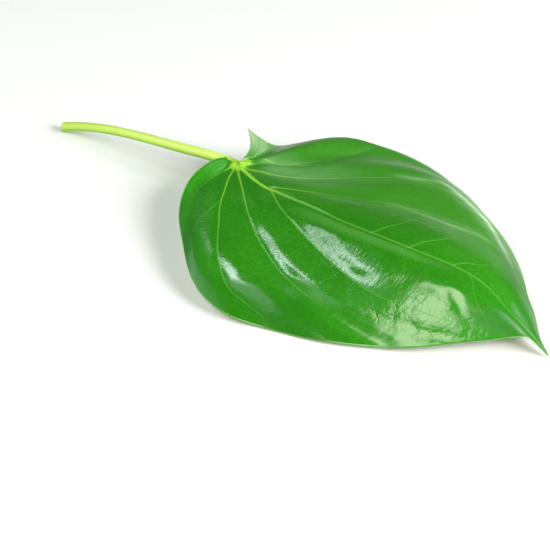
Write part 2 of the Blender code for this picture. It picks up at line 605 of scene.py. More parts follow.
class PlainFan:
    """The plain fan over a grid of fan values and reaches, before any relief.

    Attributes:
        fan: Fan value of each row.
        reach: Reach of each column.
        points: Rows and columns of points.
        normals: The upward unit normal at each.
        shape: Number of rows and of columns.
        along: Length of the course from the junction to each point.
        from_hub: Straight distance of each point from the junction.
    """

    def __init__(self, fan: np.ndarray, reach: np.ndarray) -> None:
        """Works out the fan.

        Args:
            fan: Fan value of each row.
            reach: Reach of each column.
        """
        self.fan = fan
        self.reach = reach
        self.points = fan_points(fan, reach)
        self.normals = self._normals()
        self.shape = self.points.shape[:2]
        steps = np.linalg.norm(np.diff(self.points, axis=1), axis=2)
        self.along = np.concatenate([np.zeros((len(fan), 1)), np.cumsum(steps, axis=1)], axis=1)
        self.from_hub = np.linalg.norm(self.points - HUB, axis=2)

    def _normals(self) -> np.ndarray:
        """Upward unit normals: the slope along the courses times the slope across them.

        Returns:
            Rows and columns of normals.
        """
        step = 1e-4
        across = fan_points(self.fan + step, self.reach) - fan_points(self.fan - step, self.reach)
        along = fan_points(self.fan, self.reach + step) - fan_points(self.fan, self.reach - step)
        normals = np.cross(along, across)
        normals = normals / np.maximum(np.linalg.norm(normals, axis=2), 1e-12)[:, :, None]
        normals[:, self.reach == 0] = (0.0, 0.0, 1.0)
        return normals

    def offset(self, places: Sequence[tuple[float, float]], count: int) -> tuple[np.ndarray, np.ndarray]:
        """How far each point lies from a line of the fan.

        Args:
            places: Reach and fan value of a few places along the line.
            count: Number of points that the line is read at.

        Returns:
            The signed distance, and how far along the line its nearest place is, from 0 to 1.
        """
        flat = (self.points.reshape(-1, 3), self.normals.reshape(-1, 3))
        offset, share = offset_from(fan_path(places, count), *flat)
        return offset.reshape(self.shape), share.reshape(self.shape)


@dataclass
class Surface:
    """The blade's two faces, one row for each fan value and one column for each reach.

    Attributes:
        upper: Points of the upper face, in millimetres from the spot under the junction.
        lower: Points of the lower face.
        readings: What the finishes read at each point, by name.
    """

    upper: np.ndarray
    lower: np.ndarray
    readings: dict[str, np.ndarray]


@dataclass
class BladeForm:
    """The blade's relief on its plain fan. Sizes are in millimetres, and runs in fan value or reach.

    Attributes:
        hub_radius: Half width of the bell-shaped hub.
        hub_rise: Height of the hub above the blade.
        hub_thickness: Thickness of the hub.
        hub_thins: Fan values, on both sides, between which the hub thins out towards the notch.
        horn: Fan values between which the valleys and folds fade into the smooth horn.
        roll_depth: How far the far edge rolls down.
        roll_start: Reach where the roll begins.
        roll_runs: Fan values where the roll begins, is full, starts to fade and ends.
        lamina: Thickness of the blade.
        margin_lamina: Thickness at the margin.
        margin_thins: Reaches between which it thins out.
        line_narrows: Share of its width that a main vein's pale line loses along it.
        side_line_narrows: Share of its width that a side vein's pale line loses.
        groove_depth: Depth of the groove on each rib.
        groove_wide: Times the half width of the rib's pale line, where the line is wide enough.
        groove_least: Least half width of the groove.
        groove_runs: Reaches between which the groove begins.
        ridge_half_width: Half width of the ridge under each rib.
        ridge_runs: Reaches between which the ridge begins.
        ridge_fades: Power of the way to the margin by which the ridge fades.
        rung_depth: Height of the shallow rungs across the courses.
        rungs_from_rib: Distances from a rib between which the rungs begin.
        rungs_along: Lengths along the course between which they begin.
        arm_scale: Brings the hub's arm to 1 at its tallest.
    """

    hub_radius: float = 2.6
    hub_rise: float = 0.8
    hub_thickness: float = 2.6
    hub_thins: tuple[float, float] = (0.5, 0.9)
    horn: tuple[float, float] = (0.9, 0.97)
    roll_depth: float = 1.2
    roll_start: float = 0.93
    roll_runs: tuple[float, float, float, float] = (0.12, 0.26, 0.34, 0.5)
    lamina: float = 0.45
    margin_lamina: float = 0.25
    margin_thins: tuple[float, float] = (0.85, 1.0)
    line_narrows: float = 0.8
    side_line_narrows: float = 0.7
    groove_depth: float = 0.12
    groove_wide: float = 1.3
    groove_least: float = 0.3
    groove_runs: tuple[float, float] = (0.03, 0.12)
    ridge_half_width: float = 0.75
    ridge_runs: tuple[float, float] = (0.0, 0.04)
    ridge_fades: float = 0.7
    rung_depth: float = 0.02
    rungs_from_rib: tuple[float, float] = (1.0, 4.0)
    rungs_along: tuple[float, float] = (8.0, 16.0)
    arm_scale: float = 2.6

    def surface(self, fan: np.ndarray, reach: np.ndarray) -> Surface:
        """The blade's two faces, and what the finishes read.

        The upper face is the plain fan, moved along its normals: down by the valleys and the folds, up
        by the hub's arm, and both by the rungs, which are a cosine along the courses. The hub's bell
        lifts it straight up, and the far edge rolls down by the square of the way into the roll. The
        lower face lies below it by the lamina's thickness and by the tallest ridge or hub there,
        along the normals, or straight down at the hub.

        Args:
            fan: Fan values, one for each row.
            reach: Reaches, one for each column.

        Returns:
            The surface.
        """
        plain = PlainFan(fan, reach)
        readings = {
            "fan": np.broadcast_to(fan[:, None], plain.shape),
            "reach": np.broadcast_to(reach, plain.shape),
            "along": plain.along,
            "to_margin": plain.along[:, -1:] - plain.along,
            "from_hub": plain.from_hub,
        }
        valleys, ridges = self._ribs(plain, readings)
        self._side_veins(plain, readings)
        readings["sheen"] = self._sheen(plain)
        readings["arm"] = self._arm(plain)
        sunk = valleys + self._folds(plain) + HUB_ARM.depth * readings["arm"]
        sunk = sunk * (1 - smooth_step(*self.horn, fan))[:, None]
        relief = self._rungs(plain, readings["rib_distance"]) - sunk
        hub = bell(plain.from_hub, self.hub_radius)
        into_roll = np.clip((reach - self.roll_start) / (1 - self.roll_start), 0, 1) ** 2
        roll = self.roll_depth * window(*self.roll_runs, fan)[:, None] * into_roll
        upper = plain.points + plain.normals * relief[:, :, None]
        upper[:, :, 2] += self.hub_rise * hub - roll
        thick = self.hub_thickness * hub * (1 - smooth_step(*self.hub_thins, np.abs(fan)))[:, None]
        thick[:, reach == 0] = self.hub_thickness
        below = np.maximum(ridges, thick)
        down = plain.normals + ((0.0, 0.0, 1.0) - plain.normals) * hub[:, :, None]
        lamina = self.lamina + (self.margin_lamina - self.lamina) * smooth_step(*self.margin_thins, reach)
        lower = upper - plain.normals * lamina[None, :, None] - down * below[:, :, None]
        return Surface(upper, lower, readings)

    def _ribs(self, plain: PlainFan, readings: dict[str, np.ndarray]) -> tuple[np.ndarray, np.ndarray]:
        """The ribs' valleys and ridges.

        A valley is a bell across the rib, of one width towards the midrib and another away from it. A
        narrow bell makes the groove in it, and another the ridge beneath, and both fade towards the
        margin. A rib's reading is the distance from it over the half width of its pale line, which
        narrows by the root of the way along it.

        Args:
            plain: The plain fan.
            readings: Takes each rib's reading, and the distance from the nearest rib.

        Returns:
            The depth of the valleys and grooves, and the height of the ridges.
        """
        valleys = np.zeros(plain.shape)
        ridges = np.zeros(plain.shape)
        nearest = np.full(plain.shape, np.inf)
        to_margin = 1 - plain.reach
        for rib in RIBS:
            offset, share = plain.offset(rib.places, RIB_POINTS)
            half = rib.line * (1 - self.line_narrows * np.sqrt(share))
            inwards = offset * (1 if rib.places[-1][1] <= 0 else -1) > 0
            valley = rib.depth * bell(offset, np.where(inwards, rib.inner, rib.outer))
            groove = self.groove_depth * bell(offset, np.maximum(half * self.groove_wide, self.groove_least))
            valleys += valley * window(*rib.runs, plain.reach)
            valleys += groove * to_margin * smooth_step(*self.groove_runs, plain.reach)
            crest = rib.ridge * bell(offset, self.ridge_half_width) * to_margin**self.ridge_fades
            ridges = np.maximum(ridges, crest * smooth_step(*self.ridge_runs, plain.reach))
            readings[rib.name] = offset / half
            nearest = np.minimum(nearest, np.abs(offset))
        readings["rib_distance"] = nearest
        return valleys, ridges

    def _side_veins(self, plain: PlainFan, readings: dict[str, np.ndarray]) -> None:
        """Adds the readings of the side vein that is nearest to each point.

        They are the distance over the half width of its pale line, the distance in millimetres, and
        how pale it is.

        Args:
            plain: The plain fan.
            readings: Takes the readings.
        """
        far_away = 1e3
        side = np.full(plain.shape, far_away)
        distance = np.full(plain.shape, far_away)
        pale = np.zeros(plain.shape)
        for vein in SIDE_VEINS:
            offset, share = plain.offset(vein.places, SIDE_VEIN_POINTS)
            closer = np.abs(offset) < distance
            side = np.where(closer, offset / (vein.line * (1 - self.side_line_narrows * share)), side)
            pale = np.where(closer, vein.pale, pale)
            distance = np.where(closer, np.abs(offset), distance)
        readings["side_vein"] = side
        readings["side_distance"] = distance
        readings["side_pale"] = pale

    @staticmethod
    def _sheen(plain: PlainFan) -> np.ndarray:
        """The painted sheen streaks: a narrow bell on a wide one across each, and half a sine wave along it.

        Args:
            plain: The plain fan.

        Returns:
            How strong they are, from 0 to 1.
        """
        sheen = np.zeros(plain.shape)
        for streak in STREAKS:
            offset, share = plain.offset(streak.places, STREAK_POINTS)
            across = 0.75 * bell(offset, streak.line) + 0.25 * bell(offset, streak.line * 4)
            sheen = np.maximum(sheen, streak.pale * across * np.sin(np.pi * share))
        return sheen

    @staticmethod
    def _folds(plain: PlainFan) -> np.ndarray:
        """The folds: a bell across each, and the root of half a sine wave along it.

        Args:
            plain: The plain fan.

        Returns:
            How deep they are.
        """
        depth = np.zeros(plain.shape)
        for crease in CREASES:
            offset, share = plain.offset(crease.places, CREASE_POINTS)
            across = bell(offset, np.where(offset > 0, crease.left, crease.right))
            depth += crease.depth * across * np.sqrt(np.sin(np.pi * np.clip(share, 0.02, 0.98)))
        return depth

    def _arm(self, plain: PlainFan) -> np.ndarray:
        """The hub's arm: a bell across it, and the root of the way along it times the way left."""
        offset, share = plain.offset(HUB_ARM.places, CREASE_POINTS)
        return bell(offset, HUB_ARM.left) * np.sqrt(share) * (1 - share) * self.arm_scale

    def _rungs(self, plain: PlainFan, nearest: np.ndarray) -> np.ndarray:
        """Shallow waves across the courses, which lean with the distance from the nearest rib.

        Args:
            plain: The plain fan.
            nearest: The distance from the nearest rib.

        Returns:
            Their height.
        """
        waves = np.cos(2 * np.pi * (plain.along - nearest * RUNG_SLOPE) / RUNG_SPACING)
        shown = smooth_step(*self.rungs_from_rib, nearest) * smooth_step(*self.rungs_along, plain.along)
        return self.rung_depth * waves * shown


class Wire:
    """A shader value. Arithmetic on it adds the Math nodes that work it out."""

    def __init__(self, nodes: "NodeBench", socket: bpy.types.NodeSocket) -> None:
        """Keeps the bench that the value is on, and its socket."""
        self.nodes = nodes
        self.socket = socket

    def math(self, operation: str, *others: "Wire | float") -> "Wire":
        """The value of a Math node of this operation on this value and the others."""
        inputs = dict(enumerate((self, *others)))
        return self.nodes.add("ShaderNodeMath", {"operation": operation}, inputs)

    def __add__(self, other: "Wire | float") -> "Wire":
        """Sum."""
        return self.math("ADD", other)

    __radd__ = __add__

    def __mul__(self, other: "Wire | float") -> "Wire":
        """Product."""
        return self.math("MULTIPLY", other)

    __rmul__ = __mul__

    def __sub__(self, other: "Wire | float") -> "Wire":
        """Difference."""
        return self.math("SUBTRACT", other)

    def __rsub__(self, other: float) -> "Wire":
        """Difference from a number."""
        return self.math("MULTIPLY", -1.0) + other

    def __truediv__(self, other: "Wire | float") -> "Wire":
        """Quotient."""
        return self.math("DIVIDE", other)

    def __abs__(self) -> "Wire":
        """Distance from zero."""
        return self.math("ABSOLUTE")

    def larger(self, *others: "Wire") -> "Wire":
        """The largest of this value and the others."""
        return reduce(lambda largest, other: largest.math("MAXIMUM", other), others, self)

    def step(self, low: float, high: float, start: float = 0.0, end: float = 1.0) -> "Wire":
        """start where the value is below low, end where it is above high, and smooth between."""
        inputs = {"Value": self, "From Min": low, "From Max": high, "To Min": start, "To Max": end}
        return self.nodes.add("ShaderNodeMapRange", {"interpolation_type": "SMOOTHSTEP"}, inputs)

    def window(self, begins: float, full: float, fades: float, ends: float, peak: float = 1.0) -> "Wire":
        """peak where the value is from full to fades, 0 outside begins and ends, and smooth between."""
        return self.step(begins, full) * self.step(fades, ends, peak, 0.0)


class NodeBench:
    """Adds nodes to one node tree and links them.

    Attributes:
        tree: The node tree.
        shader: Its shader node.
        material: The material that it belongs to, if it isn't the world's.
        attributes: Wires of the attributes that were read already, by name.
    """

    def __init__(
        self, tree: bpy.types.NodeTree, shader: str, material: bpy.types.Material | None = None
    ) -> None:
        """Keeps the tree, its shader node and its material.

        Args:
            tree: The node tree.
            shader: Name of its shader node.
            material: The material, if the tree is one's.
        """
        self.tree = tree
        self.shader = tree.nodes[shader]
        self.material = material
        self.attributes: dict[str, Wire] = {}

    @classmethod
    def for_material(cls, name: str) -> "NodeBench":
        """The bench of a new material.

        Args:
            name: The material's name.

        Returns:
            The bench.
        """
        material = bpy.data.materials.new(name)
        material.use_nodes = True
        return cls(material.node_tree, "Principled BSDF", material)

    def add(
        self,
        kind: str,
        settings: Mapping[str, object] | None = None,
        inputs: Mapping[str | int, object] | None = None,
        output: str | int = 0,
    ) -> Wire:
        """Adds one node.

        Args:
            kind: The node's type.
            settings: Its properties, set first.
            inputs: Values or wires for its sockets, by name or number.
            output: The socket that the returned wire reads.

        Returns:
            The wire of that output.
        """
        node = self.tree.nodes.new(kind)
        for name, value in (settings or {}).items():
            setattr(node, name, value)
        for name, value in (inputs or {}).items():
            self.feed(node.inputs[name], value)
        return Wire(self, node.outputs[output])

    def feed(self, socket: bpy.types.NodeSocket, value: object) -> None:
        """Links a wire to a socket, or sets its value.

        Args:
            socket: The socket.
            value: The wire or the value.
        """
        if isinstance(value, Wire):
            self.tree.links.new(value.socket, socket)
        else:
            socket.default_value = value

    def set(self, name: str, value: object) -> None:
        """Feeds one socket of the shader."""
        self.feed(self.shader.inputs[name], value)

    def attribute(self, name: str) -> Wire:
        """The value of one of the piece's own attributes, from one node however often it is read.

        Args:
            name: The attribute's name.

        Returns:
            The value.
        """
        if name not in self.attributes:
            self.attributes[name] = self.add("ShaderNodeAttribute", {"attribute_name": name}, output="Fac")
        return self.attributes[name]

    def blend(self, amount: Wire, first: object, second: object) -> Wire:
        """The first colour where the amount is 0, the second where it is 1, and a mix between."""
        settings = {"data_type": "RGBA", "clamp_factor": True}
        return self.add("ShaderNodeMix", settings, {0: amount, 6: first, 7: second}, output=2)

    def place(self) -> Wire:
        """The piece's own coordinates, in metres."""
        return self.add("ShaderNodeTexCoord", output="Object")

    def noise(self, at: Wire, scale: float, detail: float = 2.0, roughness: float = 0.5) -> Wire:
        """Smooth noise about 0.5, at this many features to a unit."""
        inputs = {"Vector": at, "Scale": scale, "Detail": detail, "Roughness": roughness}
        return self.add("ShaderNodeTexNoise", {"noise_dimensions": "3D"}, inputs)

    def strands(self, across: Wire, along: Wire, detail: float, roughness: float = 0.5) -> Wire:
        """Smooth noise about 0.5 over two values, which draws it out where the second changes slowly."""
        at = self.add("ShaderNodeCombineXYZ", inputs={0: across, 1: along})
        return self.noise(at, 1.0, detail, roughness)

    def net(self, scale: float) -> Wire:
        """Distance from the lines of an uneven net, with this many meshes to a metre, in meshes."""
        inputs = {"Vector": self.place(), "Scale": scale}
        return self.add("ShaderNodeTexVoronoi", {"feature": "DISTANCE_TO_EDGE"}, inputs)

    def bump(self, height: Wire) -> Wire:
        """The normal over a relief whose height is in millimetres."""
        return self.add("ShaderNodeBump", inputs={"Height": height, "Strength": 1.0, "Distance": MM})


def srgb(red: int, green: int, blue: int) -> Colour:
    """A screen colour as the linear colour that a shader takes.

    A low value is divided by 12.92, and a higher one is the 2.4th power of it and 0.055 over 1.055.

    Args:
        red: Red, from 0 to 255.
        green: Green.
        blue: Blue.

    Returns:
        The three linear values, and 1 for solid.
    """
    levels = np.array((red, green, blue)) / 255
    linear = np.where(levels <= 0.04045, levels / 12.92, ((levels + 0.055) / 1.055) ** 2.4)
    return (*(float(level) for level in linear), 1.0)


def new_piece(
    name: str,
    points: np.ndarray,
    quads: Sequence[np.ndarray],
    triangles: Sequence[np.ndarray],
    slots: np.ndarray | None = None,
) -> bpy.types.Object:
    """Makes a smooth-shaded mesh object at the origin.

    Args:
        name: The piece's name.
        points: Its points, in millimetres.
        quads: Arrays of four corner numbers a row.
        triangles: Arrays of three corner numbers a row.
        slots: Material slot of each face, quads first.

    Returns:
        The object, in the scene.
    """
    four = np.concatenate([np.empty((0, 4), int), *quads]).astype(np.int32)
    three = np.concatenate([np.empty((0, 3), int), *triangles]).astype(np.int32)
    mesh = bpy.data.meshes.new(name)
    mesh.vertices.add(len(points))
    mesh.vertices.foreach_set("co", (points * MM).astype(np.float32).ravel())
    corners = np.concatenate([four.ravel(), three.ravel()])
    mesh.loops.add(len(corners))
    mesh.loops.foreach_set("vertex_index", corners)
    starts = np.concatenate([np.arange(len(four)) * 4, len(four) * 4 + np.arange(len(three)) * 3])
    mesh.polygons.add(len(starts))
    mesh.polygons.foreach_set("loop_start", starts.astype(np.int32))
    if slots is not None:
        mesh.polygons.foreach_set("material_index", slots.astype(np.int32))
    mesh.update(calc_edges=True)
    mesh.validate()
    mesh.shade_smooth()
    piece = bpy.data.objects.new(name, mesh)
    bpy.context.scene.collection.objects.link(piece)
    return piece


def give_attribute(piece: bpy.types.Object, name: str, values: np.ndarray) -> None:
    """Stores one number for each point of a piece."""
    layer = piece.data.attributes.new(name, "FLOAT", "POINT")
    layer.data.foreach_set("value", values.astype(np.float32).ravel())


def grid_quads(grid: np.ndarray) -> np.ndarray:
    """Corner numbers of the quads between the points of a grid, facing up."""
    return np.stack([grid[:-1, :-1], grid[:-1, 1:], grid[1:, 1:], grid[1:, :-1]], axis=-1).reshape(-1, 4)


@dataclass(frozen=True)
class VeinLines:
    """Wires of the pale lines of the main veins and of the side veins, from 0 to how pale each is."""

    main: Wire
    side: Wire

    @classmethod
    def on(cls, bench: NodeBench, wide: float = 1.0) -> "VeinLines":
        """Reads the lines.

        A vein's reading is its distance over its half width, so its line is a smooth step down past 1.
        The distance in millimetres to the nearest vein keeps each line to its own vein.

        Args:
            bench: The material's bench.
            wide: Times the lines' half width.

        Returns:
            The lines.
        """
        first, *rest = (
            abs(bench.attribute(rib.name)).step(0.45 * wide, 1.4 * wide, rib.pale, 0.0) for rib in RIBS
        )
        close = bench.attribute("rib_distance").step(1.0, 1.6, 1.0, 0.0)
        side = abs(bench.attribute("side_vein")).step(0.5 * wide, 1.5 * wide, 1.0, 0.0)
        side_close = bench.attribute("side_distance").step(0.9, 1.4, 1.0, 0.0)
        return cls(first.larger(*rest) * close, side * side_close * bench.attribute("side_pale"))


# Limits for a part that has no edge on one side
OPEN_START = (-3.0, -2.0)
OPEN_END = (2.0, 3.0)


@dataclass(frozen=True)
class Part:
    """A soft-edged part of the upper skin.

    Attributes:
        fan: Fan values where it begins, is full, starts to fade and ends.
        reach: Reaches where it begins, is full, starts to fade and ends.
        strength: How strong it is where it is full.
    """

    fan: tuple[float, float, float, float]
    reach: tuple[float, float, float, float]
    strength: float

    def shown(self, bench: NodeBench) -> Wire:
        """Its strength over the skin, 0 outside it."""
        across = bench.attribute("fan").window(*self.fan, self.strength)
        return across * bench.attribute("reach").window(*self.reach)


# Parts of the skin that are satin, and how much: the far half, where the shine along the third and
# the second near rib ends, the patch of shine, the slope beyond the first far rib, and the tip
SATIN_PARTS = (
    Part((0.0, 0.25, *OPEN_END), (*OPEN_START, *OPEN_END), 0.8),
    Part((-0.58, -0.56, -0.5, -0.46), (0.7, 0.76, 0.82, 0.9), 0.9),
    Part((-0.45, -0.42, -0.3, -0.27), (0.58, 0.65, 0.72, 0.8), 0.8),
    Part((-0.34, -0.26, -0.1, -0.06), (0.66, 0.76, *OPEN_END), 0.17),
    Part((0.05, 0.12, 0.2, 0.28), (0.55, 0.8, *OPEN_END), 1.5),
    Part((-0.16, -0.1, 0.1, 0.16), (0.84, 0.93, *OPEN_END), 0.8),
)

# Parts with painted shade, and how much: the slope beyond the first far rib, the tip, and the skin low on
# the near side
PAINTED_SHADE_PARTS = (
    Part((0.03, 0.1, 0.24, 0.3), (0.8, 0.88, *OPEN_END), 0.6),
    Part((-0.14, -0.08, 0.08, 0.14), (0.84, 0.93, *OPEN_END), 0.5),
    Part((-0.85, -0.75, -0.45, -0.38), (0.66, 0.82, *OPEN_END), 0.4),
)

# The crumpled patch near the tip
CRUMPLED = Part((-0.3, -0.24, -0.11, -0.08), (0.7, 0.8, *OPEN_END), 1.0)


@dataclass(frozen=True)
class UpperSkin:
    """Waxy upper skin: deep green, pale vein lines, fine ripples across the courses, and a hard gloss.

    Heights and depths are in millimetres, and a scale is a number of features to a metre.

    Attributes:
        deep: The green of most of the near half.
        fresh: The green of the near lobe and towards the tip.
        far: The duller green of the far half.
        shade: Painted shade, a darker green low on the near side, beyond the first far rib and at the tip.
        rib: A vein's line.
        rib_base: A vein's line near the junction.
        bloom: Painted sheen in pale swaths beside the far ribs and the midrib.
        hub: The hub and its arm.
        mist: Painted sheen, a pale haze over the far half near the junction.
        horn: Painted sheen streaks on the turned-up lobe.
        edge: Painted highlight and sheen: the pale band at the far margin and the streaks of the far side.
        mottle: Specks, and the net of the smallest veins.
        roughness: Roughness of the gloss.
        satin_roughness: What is added to it where the skin is satin.
        hub_satin: How satin the hub is.
        coat: Weight of the coat where the skin is glossy.
        comb_spacing: Distance between the fine ripples, in millimetres.
        comb_height: Height of the fine ripples.
        ripple_height: Height of the coarser ripples.
        strand_height: Height of the strands along the far half.
        grain_height: Height of the grain.
        line_depth: Depth of the main veins' grooves.
        side_line_depth: Depth of the side veins' grooves.
        swell_height: Height of the swells in the crumpled patch.
        crease_height: Height of its large creases.
        wrinkle_height: Height of its small creases.
        patch_scale: Scale of the broad patches.
        speck_scale: Scale of the specks.
        net_scale: Scale of the net of the smallest veins.
        wander_scale: Scale on which the fine ripples wander and come and go.
        grain_scale: Scale of the grain.
        swell_scale: Scale of the swells.
        crease_scale: Scale of the large creases.
        wrinkle_scale: Scale of the small creases.
    """

    deep: Colour = srgb(37, 114, 17)
    fresh: Colour = srgb(40, 129, 8)
    far: Colour = srgb(60, 127, 34)
    # Painted shade: a darker green low on the near side, beyond the first far rib and at the tip
    shade: Colour = srgb(24, 92, 8)
    rib: Colour = srgb(108, 176, 68)
    rib_base: Colour = srgb(142, 202, 62)
    # Painted sheen: pale swaths beside the far ribs and the midrib
    bloom: Colour = srgb(86, 150, 66)
    hub: Colour = srgb(132, 184, 40)
    # Painted sheen: a pale haze over the far half near the junction
    mist: Colour = srgb(116, 160, 108)
    # Painted sheen: pale streaks on the turned-up lobe
    horn: Colour = srgb(132, 168, 118)
    # Painted highlight and sheen of the far side
    edge: Colour = srgb(210, 232, 202)
    mottle: Colour = srgb(84, 150, 58)
    roughness: float = 0.14
    satin_roughness: float = 0.28
    hub_satin: float = 2.4
    coat: float = 0.2
    comb_spacing: float = 0.85
    comb_height: float = 0.009
    ripple_height: float = 0.22
    strand_height: float = 0.18
    grain_height: float = 0.012
    line_depth: float = 0.06
    side_line_depth: float = 0.05
    swell_height: float = 0.3
    crease_height: float = 0.035
    wrinkle_height: float = 0.014
    patch_scale: float = 60.0
    speck_scale: float = 900.0
    net_scale: float = 430.0
    wander_scale: float = 120.0
    grain_scale: float = 1500.0
    swell_scale: float = 240.0
    crease_scale: float = 150.0
    wrinkle_scale: float = 420.0

    def material(self) -> bpy.types.Material:
        """Builds the material.

        Returns:
            The material.
        """
        bench = NodeBench.for_material("upper_skin")
        lines = VeinLines.on(bench)
        satin = self._satin(bench)
        waxy = self._patches(bench).step(0.2, 0.8, self.roughness - 0.03, self.roughness + 0.04)
        bench.set("Base Color", self._colour(bench, lines))
        bench.set("Roughness", waxy + satin * self.satin_roughness)
        bench.set("Specular IOR Level", 0.4)
        bench.set("Coat Weight", satin.step(0.0, 0.8, self.coat, 0.0))
        bench.set("Coat Roughness", 0.08)
        bench.set("Normal", bench.bump(self._height(bench, lines)))
        return bench.material

    def _patches(self, bench: NodeBench) -> Wire:
        """Broad uneven patches of the skin, about 0.5."""
        return bench.noise(bench.place(), self.patch_scale, 3.0)

    @staticmethod
    def _hub(bench: NodeBench) -> Wire:
        """1 on the hub and its arm, 0 elsewhere."""
        arm = bench.attribute("arm").step(0.1, 0.5)
        return bench.attribute("from_hub").step(1.8, 3.6, 1.0, 0.0).larger(arm)

    def _satin(self, bench: NodeBench) -> Wire:
        """How much softer than its gloss the skin is in places.

        It is satin on the hub, on the near lobe, most of all beside the notch, and on the satin parts.

        Args:
            bench: The material's bench.

        Returns:
            0 where the skin is glossy, and up to the hub's.
        """
        fan, along = bench.attribute("fan"), bench.attribute("along")
        lobe = fan.step(-0.63, -0.585, 0.8, 0.0)
        lobe = lobe + fan.step(-0.9, -0.83, 1.0, 0.0) * along.step(7.0, 15.0, 1.0, 0.0)
        parts = (part.shown(bench) for part in SATIN_PARTS)
        return (self._hub(bench) * self.hub_satin).larger(lobe, *parts)

    def _colour(self, bench: NodeBench, lines: VeinLines) -> Wire:
        """The skin's colour: its greens, then the painted sheen, the painted shade, the margin line with the
        painted highlight and sheen of the far side, and the veins.

        Args:
            bench: The material's bench.
            lines: The veins' lines.

        Returns:
            The colour.
        """
        green = self._bloomed(bench, self._green(bench))
        # Painted shade over the shaded parts
        shaded, *more = (part.shown(bench) for part in PAINTED_SHADE_PARTS)
        green = bench.blend(shaded.larger(*more), green, self.shade)
        return self._veined(bench, self._edged(bench, green), lines)

    def _green(self, bench: NodeBench) -> Wire:
        """Green that is fresher on the near lobe and towards the tip, with specks and a net of veins.

        Args:
            bench: The material's bench.

        Returns:
            The colour.
        """
        fan, reach = bench.attribute("fan"), bench.attribute("reach")
        patches = self._patches(bench)
        lobe = fan.step(-0.88, -0.84, 1.0, 0.0)
        tip = reach.step(0.7, 1.0) * abs(fan).step(0.1, 0.5, 1.0, 0.0)
        green = bench.blend(patches.step(0.3, 0.75) * 0.3 + lobe * 0.7 + tip * 0.5, self.deep, self.fresh)
        green = bench.blend(fan.step(-0.03, 0.2, 0.0, 0.6), green, self.far)
        specks = bench.noise(bench.place(), self.speck_scale, 3.0, 0.7).step(0.48, 0.66)
        net = bench.net(self.net_scale).step(0.02, 0.16, 0.1, 0.0)
        return bench.blend(specks * 0.14 + net * patches.step(0.35, 0.6), green, self.mottle)

    def _bloomed(self, bench: NodeBench, green: Wire) -> Wire:
        """Adds painted sheen: swaths beside the far ribs and the midrib, a haze by the junction, a streaky
        horn.

        Args:
            bench: The material's bench.
            green: The colour so far.

        Returns:
            The colour with the bloom.
        """
        fan, reach, along = bench.attribute("fan"), bench.attribute("reach"), bench.attribute("along")
        cloud = bench.strands(fan * 9.0, along * 0.05, 2.0).step(0.35, 0.65)
        # Painted sheen: pale swaths beside the far ribs, broken up by a cloud
        for name in ("far_first", "far_second", "far_third"):
            swath = bench.attribute(name).window(-26.0, -12.0, -5.0, -1.5) * cloud
            green = bench.blend(swath * along.window(12.0, 25.0, 55.0, 85.0, 0.45), green, self.bloom)
        # Painted sheen: a pale haze over the far half near the junction
        mist = fan.window(0.22, 0.34, 0.86, 0.95) * along.step(6.0, 12.0, 0.0, 0.5)
        mist = mist * reach.step(0.2, 0.5, 1.0, 0.0) * cloud.step(0.0, 1.0, 0.7, 1.0)
        green = bench.blend(mist, green, self.mist)
        # Painted sheen: pale streaks on the turned-up lobe
        streaks = bench.strands(fan * 110.0, along * 0.14, 3.0).step(0.35, 0.62, 0.45, 0.95)
        green = bench.blend(fan.step(0.84, 0.97) * reach.step(0.3, 0.8) * streaks, green, self.horn)
        # Painted sheen: a pale band on the near side of the midrib
        beside = bench.attribute("midrib").window(-14.0, -7.0, -5.0, -1.5)
        return bench.blend(beside * along.window(25.0, 45.0, 70.0, 95.0, 0.5), green, self.bloom)

    def _edged(self, bench: NodeBench, green: Wire) -> Wire:
        """Adds the thin pale line of the margin, and the painted highlight band and painted sheen streaks of
        the far side.

        Args:
            bench: The material's bench.
            green: The colour so far.

        Returns:
            The colour with the margin line and the painted highlight and sheen.
        """
        fan, along = bench.attribute("fan"), bench.attribute("along")
        to_margin = bench.attribute("to_margin")
        green = bench.blend(to_margin.step(0.1, 0.8, 0.8, 0.0), green, self.rib)
        # Painted highlight: a pale band along the far margin
        rim_highlight = to_margin.step(0.5, 2.2, 0.6, 0.0) * fan.window(0.3, 0.42, 0.6, 0.7)
        broken = bench.strands(fan * 90.0, along * 0.08, 2.0).step(0.3, 0.6, 0.5, 1.0)
        # Painted sheen: the far side's streaks, broken up
        return bench.blend(rim_highlight.larger(bench.attribute("sheen") * broken), green, self.edge)

    def _veined(self, bench: NodeBench, green: Wire, lines: VeinLines) -> Wire:
        """Adds the veins' lines, which fade along them, and the hub.

        Args:
            bench: The material's bench.
            green: The colour so far.
            lines: The veins' lines.

        Returns:
            The colour with the veins and the hub.
        """
        reach, along = bench.attribute("reach"), bench.attribute("along")
        pale = bench.blend(along.step(0.0, 45.0), self.rib_base, self.rib)
        middle = abs(bench.attribute("midrib")).step(1.4, 2.0, 0.52, 1.0)
        middle = middle.larger(along.step(18.0, 52.0, 1.0, 0.0))
        faded = lines.main * middle * along.step(4.0, 40.0, 1.0, 0.78) * reach.step(0.5, 1.0, 1.0, 0.62)
        green = bench.blend(lines.side, green, self.rib)
        green = bench.blend(faded, green, pale)
        return bench.blend(self._hub(bench), green, self.hub)

